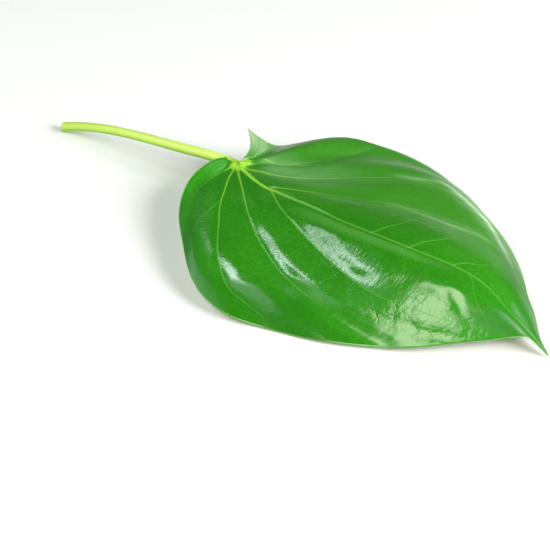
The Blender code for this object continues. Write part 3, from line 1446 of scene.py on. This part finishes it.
    def _height(self, bench: NodeBench, lines: VeinLines) -> Wire:
        """Height of the fine relief, in millimetres.

        A comb of ripples crosses the courses, under coarser ones, and strands run along the far half.
        The veins are grooves, and towards the tip the skin is crumpled.

        Args:
            bench: The material's bench.
            lines: The veins' lines.

        Returns:
            The height.
        """
        fan, reach, along = bench.attribute("fan"), bench.attribute("reach"), bench.attribute("along")
        wander = bench.noise(bench.place(), self.wander_scale)
        comb = (along * (2 * math.pi / self.comb_spacing) + wander * 16.0).math("SINE")
        comb = comb * wander.step(0.4, 0.65)
        ripple = bench.strands(fan * 14.0, along * 0.9, 3.0, 0.6)
        shown = reach.step(0.25, 0.4, 0.3, 1.0) * reach.step(0.64, 0.74, 1.0, 0.2)
        shown = shown * fan.step(-0.1, 0.0, 1.0, 0.15)
        strands = bench.strands(fan * 70.0, along * 0.06, 3.0, 0.6)
        strands = strands * fan.step(0.05, 0.2) * along.step(12.0, 30.0)
        grain = bench.noise(bench.place(), self.grain_scale)
        height = (comb * self.comb_height + ripple * self.ripple_height) * shown
        height = height + strands * self.strand_height + grain * self.grain_height
        height = height - lines.main * self.line_depth - lines.side * self.side_line_depth
        return height + CRUMPLED.shown(bench) * self._crumple(bench)

    def _crumple(self, bench: NodeBench) -> Wire:
        """Height of the crumpling, in millimetres.

        It is like foil's: the skin swells, and sharp creases run where a noise passes its middle value.

        Args:
            bench: The material's bench.

        Returns:
            The height.
        """
        at = bench.place()
        swells = bench.noise(at, self.swell_scale)
        creases = abs(bench.noise(at, self.crease_scale) - 0.5).step(0.0, 0.05)
        wrinkles = abs(bench.noise(at, self.wrinkle_scale) - 0.5).step(0.0, 0.08)
        return swells * self.swell_height + creases * self.crease_height + wrinkles * self.wrinkle_height


@dataclass(frozen=True)
class LowerSkin:
    """Matt lower skin: paler green, with raised pale ribs, rungs between them and a net of small veins.

    Attributes:
        green: The skin's green.
        rib: The ribs, the rungs and the net.
        roughness: Roughness of the skin.
        rib_wide: Times the upper skin's lines in width.
        rung_height: Height of the rungs, in millimetres.
        net_height: Height of the net of the smallest veins, in millimetres.
        side_vein_height: Height of the side veins, in millimetres.
        net_scale: Number of the net's meshes to a metre.
        mottle_scale: Number of the gloss's patches to a metre.
    """

    green: Colour = srgb(104, 150, 74)
    rib: Colour = srgb(168, 198, 108)
    roughness: float = 0.52
    rib_wide: float = 1.7
    rung_height: float = 0.2
    net_height: float = 0.15
    side_vein_height: float = 0.25
    net_scale: float = 380.0
    mottle_scale: float = 300.0

    def material(self) -> bpy.types.Material:
        """Builds the material. A rung is a thin line, once in each spacing along a course.

        Returns:
            The material.
        """
        bench = NodeBench.for_material("lower_skin")
        lines = VeinLines.on(bench, self.rib_wide)
        phase = (bench.attribute("along") - bench.attribute("rib_distance") * RUNG_SLOPE) / RUNG_SPACING
        rungs = abs(phase.math("FRACT") - 0.5).step(0.0, 0.07, 1.0, 0.0) * 0.6
        net = bench.net(self.net_scale).step(0.02, 0.12, 1.0, 0.0) * 0.35
        pale = lines.main.larger(lines.side, rungs, net)
        mottle = bench.noise(bench.place(), self.mottle_scale)
        bench.set("Base Color", bench.blend(pale, self.green, self.rib))
        bench.set("Roughness", mottle.step(0.2, 0.8, self.roughness - 0.05, self.roughness + 0.08))
        height = rungs * self.rung_height + net * self.net_height + lines.side * self.side_vein_height
        bench.set("Normal", bench.bump(height))
        return bench.material


@dataclass(frozen=True)
class RimSkin:
    """The blade's thin edge, a little paler and yellower than its upper skin.

    Attributes:
        colour: The edge's green.
        darker: Times its green where it is darkest.
        roughness: Roughness of the edge.
        tone_scale: Number of its light and dark patches to a metre.
    """

    colour: Colour = srgb(118, 176, 66)
    darker: float = 0.75
    roughness: float = 0.45
    tone_scale: float = 200.0

    def material(self) -> bpy.types.Material:
        """Builds the material.

        Returns:
            The material.
        """
        bench = NodeBench.for_material("rim_skin")
        tone = bench.noise(bench.place(), self.tone_scale).step(0.3, 0.7)
        dark = (*(level * self.darker for level in self.colour[:3]), 1.0)
        bench.set("Base Color", bench.blend(tone, self.colour, dark))
        bench.set("Roughness", self.roughness)
        return bench.material


@dataclass
class Blade:
    """The heart-shaped blade: one closed mesh of two faces and a rim.

    Attributes:
        fan_lines: Number of steps in fan value, from one side of the notch to the other.
        reach_lines: Number of steps in reach.
        crowding: Power that brings the steps in reach closer together near the junction.
    """

    fan_lines: int = 400
    reach_lines: int = 112
    crowding: float = 1.15

    def build(self) -> bpy.types.Object:
        """Builds and dresses the blade.

        Both faces are grids over fan value and reach, which meet in one point at the junction, and
        the rim joins their outer rows.

        Returns:
            The piece.
        """
        fan = np.linspace(-1, 1, self.fan_lines + 1)
        reach = np.linspace(0, 1, self.reach_lines + 1) ** self.crowding
        form = BladeForm().surface(fan, reach)
        rows, columns = len(fan), len(reach) - 1
        points = np.concatenate([self._joined(form.upper), self._joined(form.lower)]) + UNDER_JUNCTION
        per_face = rows * columns + 1
        grid = 1 + np.arange(rows * columns).reshape(rows, columns)
        quads = [grid_quads(grid), grid_quads(grid + per_face)[:, ::-1]]
        fans = np.stack([np.zeros(rows - 1, int), grid[:-1, 0], grid[1:, 0]], axis=1)
        triangles = [fans, (fans + per_face)[:, ::-1]]
        outline = np.concatenate([[0], grid[0], grid[1:-1, -1], grid[-1, ::-1]])
        following = np.roll(outline, -1)
        quads.append(np.stack([outline, outline + per_face, following + per_face, following], axis=1))
        sides = (Side.UPPER, Side.LOWER, Side.RIM, Side.UPPER, Side.LOWER)
        slots = np.repeat([side.value for side in sides], [len(faces) for faces in (*quads, *triangles)])
        piece = new_piece("blade_skin", points, quads, triangles, slots)
        for name, values in form.readings.items():
            face = self._joined(values)
            give_attribute(piece, name, np.concatenate([face, face]))
        for skin in (UpperSkin(), LowerSkin(), RimSkin()):
            piece.data.materials.append(skin.material())
        return piece

    @staticmethod
    def _joined(values: np.ndarray) -> np.ndarray:
        """A grid's values in one row, with its first column, the junction, as one value."""
        return np.concatenate([values[:1, 0], values[:, 1:].reshape(-1, *values.shape[2:])])


@dataclass(frozen=True)
class StalkSkin:
    """The stalk's satin yellow-green skin, with fine lengthwise lines, a brown line on top, and painted
    light and shade.

    Attributes:
        light: Painted light, the paler skin on top.
        dark: Painted shade, the darker skin beneath.
        base: The skin beside the blade.
        brown: The line along the seam.
        cut: The cut end.
        roughness: Roughness of the skin.
        streak_height: Height of the lengthwise lines, in millimetres.
    """

    light: Colour = srgb(202, 232, 104)
    dark: Colour = srgb(140, 190, 24)
    base: Colour = srgb(128, 176, 40)
    brown: Colour = srgb(112, 96, 40)
    cut: Colour = srgb(206, 216, 140)
    roughness: float = 0.36
    streak_height: float = 0.08

    def material(self) -> bpy.types.Material:
        """Builds the material.

        Returns:
            The material.
        """
        bench = NodeBench.for_material("stalk_skin")
        around, along = bench.attribute("around"), bench.attribute("along")
        streaks = bench.strands(around * 9.0, along * 0.06, 3.0)
        # Painted light and shade: paler on top, darker beneath
        darker = around.step(0.3, 0.65) * 0.75 + streaks.step(0.3, 0.7) * 0.25
        green = bench.blend(darker, self.light, self.dark)
        green = bench.blend(along.step(64.0, 74.0), green, self.base)
        line = bench.attribute("from_seam").step(0.03, 0.07, 1.0, 0.0) * along.step(34.0, 50.0, 1.0, 0.0)
        colour = bench.blend(line * streaks.step(0.2, 0.6, 0.4, 0.9), green, self.brown)
        bench.set("Base Color", bench.blend(bench.attribute("end"), colour, self.cut))
        bench.set("Roughness", streaks.step(0.2, 0.8, self.roughness - 0.05, self.roughness + 0.08))
        bench.set("Coat Weight", 0.25)
        bench.set("Coat Roughness", 0.2)
        bench.set("Normal", bench.bump(streaks * self.streak_height))
        return bench.material


@dataclass
class Stalk:
    """The stalk: a section carried along a smooth path, from the cut end into the hub.

    Attributes:
        sides: Number of points around the section.
        rings: Number of sections along the path.
        groove: Depth of the groove on top, as a share of the radius.
        groove_turn: Half width of the groove, in radians.
        into_hub: How far the stalk goes on past its last point.
        rounded: Length of its rounded end in the hub.
        blunt: Share of the rounding that is made before the end is closed.
        end_past: How far the closing point lies past the last section.
        cap_rings: Number of steps across the cut end.
        cut_facing: Direction that the cut end faces.
        cut_length: Length over which the cut's slant fades.
        hollow: Depth of the hollow in the cut end.
        clearance: Least height above the surface.
        length: Length of the stalk, for what its finish reads.
        seam: Place of the brown line, from 0 at one side through 0.5 on top to 1 at the other.
    """

    sides: int = 56
    rings: int = 240
    groove: float = 0.08
    groove_turn: float = 0.35
    into_hub: float = 3.2
    rounded: float = 3.4
    blunt: float = 0.995
    end_past: float = 0.2
    cap_rings: int = 6
    cut_facing: tuple[float, float, float] = (-0.855, -0.482, 0.185)
    cut_length: float = 7.0
    hollow: float = 0.12
    clearance: float = 0.05
    length: float = 75.0
    seam: float = 0.66

    def build(self) -> bpy.types.Object:
        """Builds and dresses the stalk.

        The path is a spline through the stalk's points. The cut end is a disc of rings, hollow by the
        fourth power of the way out, and the other end closes to a point inside the hub.

        Returns:
            The piece.
        """
        path, radius = self._path()
        forward = self._forward(path)
        turn = np.linspace(0, 2 * np.pi, self.sides, endpoint=False)
        body = self._body(path, radius, turn)
        out = np.linspace(0, 1, self.cap_rings + 1)[:-1, None, None]
        cap = path[0] + out * (body[0] - path[0]) + forward[0] * self.hollow * (1 - out**4)
        tip = path[-1] + forward[-1] * self.end_past
        rings = np.concatenate([cap[1:], body])
        points = np.concatenate([cap[0, :1], rings.reshape(-1, 3), [tip]]) + UNDER_JUNCTION
        piece = new_piece("stalk_skin", points, *self._faces(len(rings)))
        on_cap = len(rings) - len(path)
        length = np.concatenate([np.zeros(on_cap), np.linspace(0, self.length, len(path))])
        end = np.concatenate([np.ones(on_cap), np.zeros(len(path))])
        readings = {
            "around": (0.0, np.tile(np.abs(turn / np.pi - 0.5) % 2, len(rings)), 0.0),
            "from_seam": (1.0, np.tile(np.abs(turn / np.pi - self.seam), len(rings)), 1.0),
            "along": (0.0, np.repeat(length, self.sides), self.length),
            "end": (1.0, np.repeat(end, self.sides), 0.0),
        }
        for name, (first, middle, last) in readings.items():
            give_attribute(piece, name, np.concatenate([[first], middle, [last]]))
        piece.data.materials.append(StalkSkin().material())
        return piece

    def _path(self) -> tuple[np.ndarray, np.ndarray]:
        """The stalk's course: a spline through its points, read evenly.

        The radius goes down inside the hub by the root of 1 less the square of the way into the
        rounding.

        Returns:
            The middle of each ring, and its radius.
        """
        spans = np.linalg.norm(np.diff(STALK[:, :3], axis=0), axis=1)
        keys = np.concatenate([[0.0], np.cumsum(spans)])
        at = np.linspace(0, keys[-1] + self.into_hub, self.rings)
        read = natural_spline(keys, STALK, at)
        into = np.clip((at - at[-1] + self.rounded) / self.rounded, 0, self.blunt)
        return read[:, :3], read[:, 3] * np.sqrt(1 - into**2)

    @staticmethod
    def _forward(path: np.ndarray) -> np.ndarray:
        """Unit vector along the path at each of its points."""
        forward = np.gradient(path, axis=0)
        return forward / np.linalg.norm(forward, axis=1)[:, None]

    def _body(self, path: np.ndarray, radius: np.ndarray, turn: np.ndarray) -> np.ndarray:
        """Points of each ring.

        The section is a circle with a bell-shaped groove on top, and it stands square to the path, with
        the slant of the cut near the start.

        Args:
            path: The middle of each ring.
            radius: Its radius.
            turn: Angle of each point around it, from 0 at one side to a quarter turn on top.

        Returns:
            One row of points for each ring.
        """
        side = np.cross(self._forward(path), (0.0, 0.0, 1.0))
        side /= np.linalg.norm(side, axis=1)[:, None]
        up = np.cross(side, self._forward(path))
        round_way = np.cos(turn)[None, :, None] * side[:, None] + np.sin(turn)[None, :, None] * up[:, None]
        section = (1 - self.groove * bell(turn - np.pi / 2, self.groove_turn))[None, :, None] * round_way
        body = path[:, None] + radius[:, None, None] * section
        body = body + self._slant(path, body)
        body[:, :, 2] = np.maximum(body[:, :, 2], self.clearance)
        return body

    def _slant(self, path: np.ndarray, body: np.ndarray) -> np.ndarray:
        """Moves along the stalk that make its cut end slanted.

        A point goes along the stalk until it lies in the cut's plane through the middle of the end, and
        the moves fade by a square over the cut's length.

        Args:
            path: The middle of each ring.
            body: The points of each ring.

        Returns:
            A move for each point.
        """
        facing = np.array(self.cut_facing)
        axis = path[1] - path[0]
        from_end = np.linalg.norm(path - path[0], axis=1)
        fade = np.clip(1 - from_end / self.cut_length, 0, 1) ** 2
        moves = -((body - path[:, None]) @ facing) / (axis @ facing)
        return (moves * fade[:, None])[:, :, None] * axis

    def _faces(self, rows: int) -> tuple[list[np.ndarray], list[np.ndarray]]:
        """Faces between this many rings, and the fans that close them onto the first and the last point.

        Args:
            rows: Number of rings, on the cut end and along the stalk.

        Returns:
            The quads, and the triangles.
        """
        grid = 1 + np.arange(rows * self.sides).reshape(rows, self.sides)
        wrapped = np.concatenate([grid, grid[:, :1]], axis=1)
        first = np.zeros(self.sides, int)
        last = np.full(self.sides, rows * self.sides + 1)
        start = np.stack([first, wrapped[0, 1:], wrapped[0, :-1]], axis=1)
        end = np.stack([last, wrapped[-1, :-1], wrapped[-1, 1:]], axis=1)
        return [grid_quads(wrapped)], [start, end]


@dataclass(frozen=True)
class Softbox:
    """A rectangular lamp that faces the leaf.

    Attributes:
        name: What it is called.
        azimuth: Direction from the leaf, in degrees, 0 towards -Y and 90 towards +X.
        elevation: Height above the floor, in degrees.
        away: Distance from the leaf, in metres.
        size: Its width and height, in metres.
        watts: Its power.
        tint: Its colour.
    """

    name: str
    azimuth: float
    elevation: float
    away: float
    size: tuple[float, float]
    watts: float
    tint: tuple[float, float, float] = (1.0, 1.0, 1.0)


@dataclass
class Studio:
    """Pale floor, soft lights and the camera at the photograph's viewing angle.

    Attributes:
        azimuth: Direction of the camera from the leaf, in degrees, as a softbox has it.
        elevation: Its height above the floor, in degrees.
        lens: Its focal length, in millimetres on a sensor 36 millimetres wide.
        distance: How far it is from its target, in millimetres.
        target: What it looks at, in millimetres.
        floor_size: Width of the floor, in metres.
        floor_grey: How pale the floor is.
        glow: Distances from the leaf between which the floor begins to glow, in metres.
        glow_strength: How bright the glow is.
        low: Strength of the surround low down behind the leaf.
        low_front: Its strength low down in front of it.
        overhead: Its strength overhead.
        softboxes: The lamps.
    """

    azimuth: float = 39.23
    elevation: float = 42.0
    lens: float = 85.0
    distance: float = 410.0
    target: tuple[float, float, float] = (11.8, -23.35, 0.0)
    floor_size: float = 14.0
    floor_grey: float = 0.8
    glow: tuple[float, float] = (0.6, 1.5)
    glow_strength: float = 0.9
    low: float = 0.88
    low_front: float = 0.7
    overhead: float = 0.45
    softboxes: tuple[Softbox, ...] = (
        Softbox("left_window", -66.5, 49.0, 1.0, (0.4, 0.15), 2.15, (0.88, 1.0, 1.0)),
        Softbox("middle_window", -35.5, 48.5, 1.0, (0.4, 0.13), 2.5, (0.88, 1.0, 1.0)),
        Softbox("warm_window", 26.5, 44.5, 1.0, (0.29, 0.52), 5.1, (1.0, 1.0, 0.8)),
        Softbox("side", 104.0, 30.0, 1.0, (0.6, 0.55), 16.5),
    )

    def build(self) -> None:
        """Builds the camera, the lights, the world and the floor."""
        self._camera()
        self._world()
        self._floor()
        for softbox in self.softboxes:
            self._lamp(softbox)

    @staticmethod
    def _towards(azimuth: float, elevation: float) -> Vector:
        """Unit vector from the leaf towards this azimuth and elevation."""
        a, e = math.radians(azimuth), math.radians(elevation)
        return Vector((math.sin(a) * math.cos(e), -math.cos(a) * math.cos(e), math.sin(e)))

    def _aim(self, thing: bpy.types.Object, towards: Vector) -> None:
        """Turns a camera or lamp to face the leaf, and adds it to the scene.

        Args:
            thing: The camera or lamp.
            towards: Direction from the leaf in which it stands.
        """
        thing.rotation_mode = "QUATERNION"
        thing.rotation_quaternion = (-towards).to_track_quat("-Z", "Y")
        bpy.context.scene.collection.objects.link(thing)

    def _camera(self) -> None:
        """Makes the camera."""
        data = bpy.data.cameras.new("camera")
        data.lens = self.lens
        data.sensor_width = 36.0
        data.clip_start = 0.01
        camera = bpy.data.objects.new("camera", data)
        towards = self._towards(self.azimuth, self.elevation)
        camera.location = Vector(self.target) * MM + towards * self.distance * MM
        self._aim(camera, towards)
        bpy.context.scene.camera = camera

    def _lamp(self, softbox: Softbox) -> None:
        """Makes one softbox.

        Args:
            softbox: Its facts.
        """
        data = bpy.data.lights.new(softbox.name, "AREA")
        data.shape = "RECTANGLE"
        data.size, data.size_y = softbox.size
        data.energy = softbox.watts
        data.color = softbox.tint
        lamp = bpy.data.objects.new(softbox.name, data)
        towards = self._towards(softbox.azimuth, softbox.elevation)
        lamp.location = towards * softbox.away
        self._aim(lamp, towards)

    def _world(self) -> None:
        """A dim grey surround, which is brighter low down, most of all behind the leaf."""
        scene = bpy.context.scene
        scene.view_settings.view_transform = "Standard"
        world = scene.world or bpy.data.worlds.new("surround")
        scene.world = world
        world.use_nodes = True
        bench = NodeBench(world.node_tree, "Background")
        direction = bench.add("ShaderNodeTexCoord", output="Generated")
        height = bench.add("ShaderNodeSeparateXYZ", inputs={0: direction}, output="Z")
        behind = -self._towards(self.azimuth, 0.0)
        inputs = {0: direction, 1: behind}
        backwards = bench.add("ShaderNodeVectorMath", {"operation": "DOT_PRODUCT"}, inputs, output="Value")
        low = backwards.step(-0.3, 0.4, self.low_front, self.low)
        share = height.step(0.5, 0.78, 1.0, 0.0)
        bench.set("Strength", low * share + (1 - share) * self.overhead)

    def _floor(self) -> None:
        """A plain pale floor, which glows far from the leaf, so that it stays pale where no lamp reaches."""
        half = self.floor_size / 2 / MM
        points = np.array(((-half, -half, 0.0), (half, -half, 0.0), (half, half, 0.0), (-half, half, 0.0)))
        floor = new_piece("floor", points, [np.array(((0, 1, 2, 3),))], [])
        bench = NodeBench.for_material("floor")
        bench.set("Base Color", (self.floor_grey, self.floor_grey, self.floor_grey, 1.0))
        bench.set("Roughness", 0.8)
        inputs = {0: bench.place()}
        away = bench.add("ShaderNodeVectorMath", {"operation": "LENGTH"}, inputs, output="Value")
        glow = bench.blend(away.step(*self.glow), (0.0, 0.0, 0.0, 1.0), (1.0, 1.0, 1.0, 1.0))
        bench.set("Emission Color", glow)
        bench.set("Emission Strength", self.glow_strength)
        floor.data.materials.append(bench.material)


def main() -> None:
    """Builds the leaf and its studio."""
    logging.basicConfig(level=logging.INFO, format="%(message)s")
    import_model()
    Studio().build()
    for maker, node in ((Blade(), "blade"), (Stalk(), "stalk")):
        piece = maker.build()
        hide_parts(node)
        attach(piece, "root")
        LOG.info("%s: %d faces", piece.name, len(piece.data.polygons))
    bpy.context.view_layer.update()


if __name__ == "__main__":
    main()
